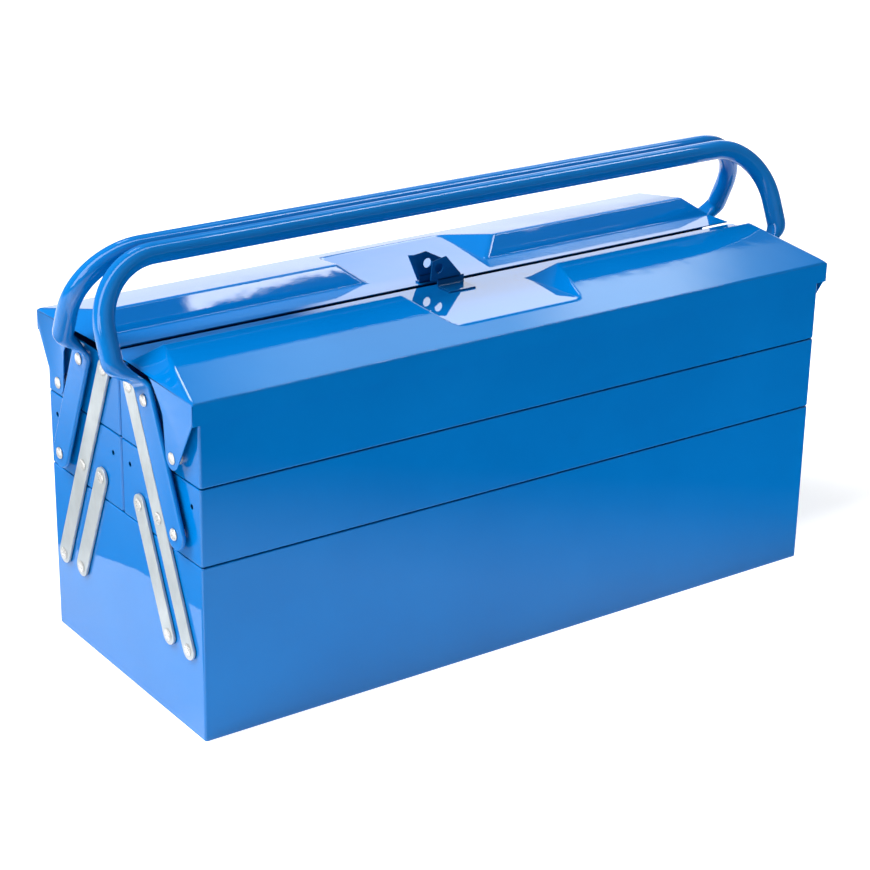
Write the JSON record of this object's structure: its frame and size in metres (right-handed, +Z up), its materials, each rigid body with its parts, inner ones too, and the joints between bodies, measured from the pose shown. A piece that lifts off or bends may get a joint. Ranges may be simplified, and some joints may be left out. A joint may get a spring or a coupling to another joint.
{
  "type": "cantilever tool box",
  "caption": "Blue painted steel cantilever tool box: base box, pairs of middle and upper trays on riveted links, hinged pressed lids with padlock tabs, and twin tube carrying handles.",
  "frame": {"origin": "middle of the underside of the base box, on the surface it stands on", "axes": "+X along the length, to the right seen from the front; +Y to the rear; +Z up"},
  "size_m": [0.5882, 0.2168, 0.3153],
  "materials": {
    "blue_paint": "gloss baked enamel",
    "zinc_link": "bright zinc plated flat steel",
    "rivet_steel": "bright plated rivet steel"
  },
  "bodies": {
    "base": {"base_box": "blue_paint", "base_link_rivets": "rivet_steel"},
    "front_long_links": {"front_left_long_link": "zinc_link", "front_right_long_link": "zinc_link"},
    "front_short_links": {"front_left_short_link": "zinc_link", "front_right_short_link": "zinc_link"},
    "front_middle": {"front_middle_tray": "blue_paint", "front_middle_link_rivets": "rivet_steel", "front_middle_handle_rivets": "rivet_steel", "front_middle_handle_spacers": "rivet_steel"},
    "front_upper": {"front_upper_tray": "blue_paint", "front_upper_link_rivets": "rivet_steel", "front_upper_handle_rivets": "rivet_steel", "front_upper_handle_spacers": "rivet_steel", "front_lid_rivets": "rivet_steel", "front_lid_spacers": "rivet_steel"},
    "front_handle": {"front_handle": "blue_paint"},
    "front_lid": {"front_lid": "blue_paint", "front_padlock_tab": "blue_paint"},
    "rear_long_links": {"rear_left_long_link": "zinc_link", "rear_right_long_link": "zinc_link"},
    "rear_short_links": {"rear_left_short_link": "zinc_link", "rear_right_short_link": "zinc_link"},
    "rear_middle": {"rear_middle_tray": "blue_paint", "rear_middle_link_rivets": "rivet_steel", "rear_middle_handle_rivets": "rivet_steel", "rear_middle_handle_spacers": "rivet_steel"},
    "rear_upper": {"rear_upper_tray": "blue_paint", "rear_upper_link_rivets": "rivet_steel", "rear_upper_handle_rivets": "rivet_steel", "rear_upper_handle_spacers": "rivet_steel", "rear_lid_rivets": "rivet_steel", "rear_lid_spacers": "rivet_steel"},
    "rear_handle": {"rear_handle": "blue_paint"},
    "rear_lid": {"rear_lid": "blue_paint", "rear_padlock_tab": "blue_paint"}
  },
  "joints": [
    {"name": "front_open", "type": "hinge", "parent": "base", "child": "front_long_links", "pos_m": [0, -0.089, 0.062], "axis": [1, 0, 0], "range_deg": [0, 47.3]},
    {"name": "front_middle_level", "type": "hinge", "parent": "front_long_links", "child": "front_middle", "pos_m": [0, -0.0535, 0.143], "axis": [1, 0, 0], "range_deg": [-47.3, 0]},
    {"name": "front_upper_level", "type": "hinge", "parent": "front_long_links", "child": "front_upper", "pos_m": [0, -0.018, 0.224], "axis": [1, 0, 0], "range_deg": [-47.3, 0]},
    {"name": "front_short_swing", "type": "hinge", "parent": "base", "child": "front_short_links", "pos_m": [0, -0.0625, 0.062], "axis": [1, 0, 0], "range_deg": [0, 47.3]},
    {"name": "front_handle_swing", "type": "hinge", "parent": "front_upper", "child": "front_handle", "pos_m": [0, -0.0455, 0.224], "axis": [1, 0, 0], "range_deg": [0, 47.3]},
    {"name": "front_lid_hinge", "type": "hinge", "parent": "front_upper", "child": "front_lid", "pos_m": [0, -0.08, 0.1955], "axis": [1, 0, 0], "range_deg": [0, 90]},
    {"name": "rear_open", "type": "hinge", "parent": "base", "child": "rear_long_links", "pos_m": [0, 0.089, 0.062], "axis": [-1, 0, 0], "range_deg": [0, 47.3]},
    {"name": "rear_middle_level", "type": "hinge", "parent": "rear_long_links", "child": "rear_middle", "pos_m": [0, 0.0535, 0.143], "axis": [-1, 0, 0], "range_deg": [-47.3, 0]},
    {"name": "rear_upper_level", "type": "hinge", "parent": "rear_long_links", "child": "rear_upper", "pos_m": [0, 0.018, 0.224], "axis": [-1, 0, 0], "range_deg": [-47.3, 0]},
    {"name": "rear_short_swing", "type": "hinge", "parent": "base", "child": "rear_short_links", "pos_m": [0, 0.0625, 0.062], "axis": [-1, 0, 0], "range_deg": [0, 47.3]},
    {"name": "rear_handle_swing", "type": "hinge", "parent": "rear_upper", "child": "rear_handle", "pos_m": [0, 0.0455, 0.224], "axis": [-1, 0, 0], "range_deg": [0, 47.3]},
    {"name": "rear_lid_hinge", "type": "hinge", "parent": "rear_upper", "child": "rear_lid", "pos_m": [0, 0.08, 0.1955], "axis": [-1, 0, 0], "range_deg": [0, 90]}
  ],
  "couplings": [
    {"joint": "front_middle_level", "follows": "front_open", "ratio": -1},
    {"joint": "front_upper_level", "follows": "front_open", "ratio": -1},
    {"joint": "front_short_swing", "follows": "front_open", "ratio": 1},
    {"joint": "front_handle_swing", "follows": "front_open", "ratio": 1},
    {"joint": "rear_middle_level", "follows": "rear_open", "ratio": -1},
    {"joint": "rear_upper_level", "follows": "rear_open", "ratio": -1},
    {"joint": "rear_short_swing", "follows": "rear_open", "ratio": 1},
    {"joint": "rear_handle_swing", "follows": "rear_open", "ratio": 1}
  ]
}
